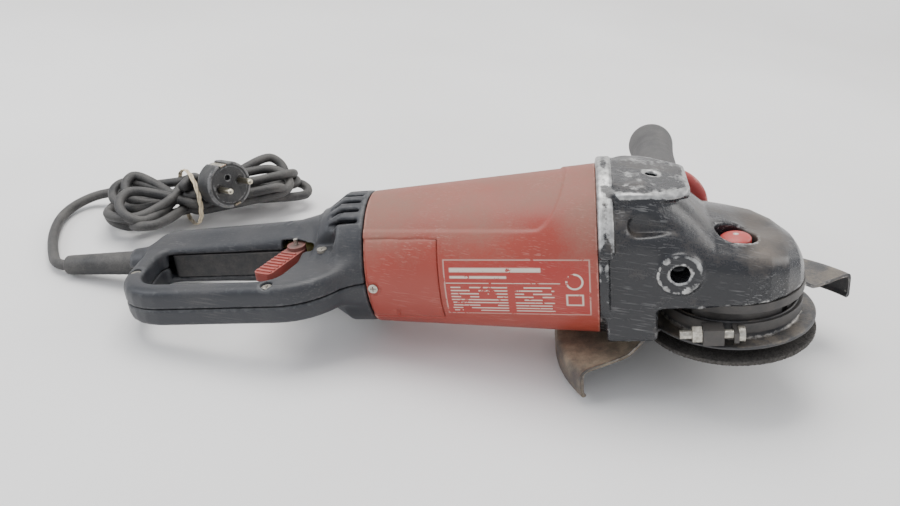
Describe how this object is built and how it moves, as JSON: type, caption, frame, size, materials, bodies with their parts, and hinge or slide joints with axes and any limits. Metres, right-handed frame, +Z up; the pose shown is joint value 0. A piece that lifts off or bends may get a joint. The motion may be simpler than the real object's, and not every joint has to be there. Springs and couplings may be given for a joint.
{
  "type": "large angle grinder",
  "caption": "Two-handed angle grinder for cutting and grinding masonry, with swivelling D-handle, side handle, guard and tied cord.",
  "frame": {"origin": "centre of the tool's bounding box, without its free cord, at floor level", "axes": "+Z up off the floor the tool lies on, +X from rear handle to gear head, +Y to the side the side handle is on"},
  "size_m": [0.6385, 0.2813, 0.1476],
  "materials": {
    "red_housing": "faded, scratched glass-filled polyamide",
    "black_plastic": "dusty moulded polyamide",
    "red_plastic": "moulded plastic",
    "flange_red": "faded moulded plastic",
    "grip_rubber": "ribbed soft grip",
    "black_casting": "black painted magnesium or aluminium casting, worn to bare metal on edges",
    "zinc_steel": "zinc plated",
    "bearing_steel": "ground steel",
    "spring_steel": "spring wire",
    "guard_steel": "painted pressed steel, dusty and worn",
    "abrasive": "resin bonded abrasive",
    "lamination": "stacked electrical steel",
    "copper": "enamelled copper",
    "brass": "pressed brass",
    "carbon": "pressed carbon",
    "capacitor_skin": "wrapped film capacitor",
    "cord_rubber": "dusty rubber sheath",
    "plug_rubber": "moulded rubber",
    "band_cream": "twisted rubber band"
  },
  "bodies": {
    "tool": {"motor_housing": "red_housing", "brush_covers": "red_housing", "brush_cover_screws": "zinc_steel", "brush_holders": "brass", "carbon_brushes": "carbon", "brush_springs": "spring_steel", "stator_core": "lamination", "stator_coils": "copper", "air_baffle": "black_plastic", "rear_bearing": "bearing_steel", "front_bearing": "bearing_steel", "gear_housing": "black_casting", "gear_housing_screws": "zinc_steel", "bearing_cover": "black_casting", "bearing_cover_screws": "zinc_steel", "spindle_upper_bearing": "bearing_steel", "spindle_lower_bearing": "bearing_steel", "button_spring": "spring_steel", "swivel_ring": "black_plastic", "swivel_ring_screws": "zinc_steel", "side_handle_flange": "flange_red", "side_handle_grip": "grip_rubber", "side_handle_stud": "zinc_steel", "cord_lead": "cord_rubber", "cord_hank": "cord_rubber", "hank_band": "band_cream", "plug_body": "plug_rubber", "plug_pins": "brass", "plug_earth_clips": "brass"},
    "armature": {"armature_shaft": "bearing_steel", "rotor_core": "lamination", "rotor_windings": "copper", "commutator": "copper", "cooling_fan": "black_plastic", "pinion": "bearing_steel"},
    "spindle": {"spindle_shaft": "bearing_steel", "gear_circlip": "bearing_steel", "crown_gear": "bearing_steel", "backing_flange": "bearing_steel", "grinding_disc": "abrasive", "clamping_nut": "bearing_steel"},
    "guard": {"guard_shell": "guard_steel", "guard_clamp_band": "guard_steel", "clamp_bolt": "zinc_steel", "clamp_nut": "zinc_steel", "clamp_block": "guard_steel"},
    "button": {"lock_button": "red_plastic", "lock_pin": "bearing_steel"},
    "rear_handle": {"handle_upper_shell": "black_plastic", "handle_lower_shell": "black_plastic", "handle_screws": "zinc_steel", "switch_body": "black_plastic", "noise_capacitor": "capacitor_skin", "cable_clamp": "zinc_steel", "cord_boot": "cord_rubber", "handle_pins": "zinc_steel", "trigger_spring": "spring_steel"},
    "trigger": {"trigger_paddle": "black_plastic"},
    "lever": {"lock_lever": "red_plastic"}
  },
  "joints": [
    {"name": "armature_spin", "type": "hinge", "parent": "tool", "child": "armature", "pos_m": [0.03381, -0.06383, 0.07293], "axis": [0.9806, 0.0068, 0.1958], "continuous": true},
    {"name": "spindle_spin", "type": "hinge", "parent": "tool", "child": "spindle", "pos_m": [0.18678, -0.06383, 0.0729], "axis": [-0.1959, 0.0342, 0.98], "continuous": true},
    {"name": "guard_turn", "type": "hinge", "parent": "tool", "child": "guard", "pos_m": [0.18874, -0.06417, 0.0631], "axis": [-0.1959, 0.0342, 0.98], "range_deg": [-10, 100]},
    {"name": "button_press", "type": "slide", "parent": "tool", "child": "button", "axis": [0.1959, -0.0342, -0.98], "range_m": [0, 0.006], "stiffness_N_per_m": 900, "springref_m": -0.001, "deforming": ["button_spring"]},
    {"name": "handle_swivel", "type": "hinge", "parent": "tool", "child": "rear_handle", "pos_m": [-0.06229, -0.0645, 0.05373], "axis": [0.9806, 0.0068, 0.1958], "range_deg": [0, 90]},
    {"name": "trigger_pull", "type": "hinge", "parent": "rear_handle", "child": "trigger", "pos_m": [-0.19958, -0.06745, 0.02639], "axis": [-0.1959, 0.0342, 0.98], "range_deg": [0, 3.6], "stiffness_Nm_per_rad": 0.6, "springref_deg": -3.44, "deforming": ["trigger_spring"]},
    {"name": "lever_swing", "type": "hinge", "parent": "rear_handle", "child": "lever", "pos_m": [-0.11191, -0.07455, 0.05233], "axis": [0.1959, -0.0342, -0.98], "range_deg": [0, 26], "stiffness_Nm_per_rad": 0.05, "springref_deg": -11.46}
  ],
  "couplings": [
    {"joint": "spindle_spin", "follows": "armature_spin", "ratio": -0.32432}
  ]
}
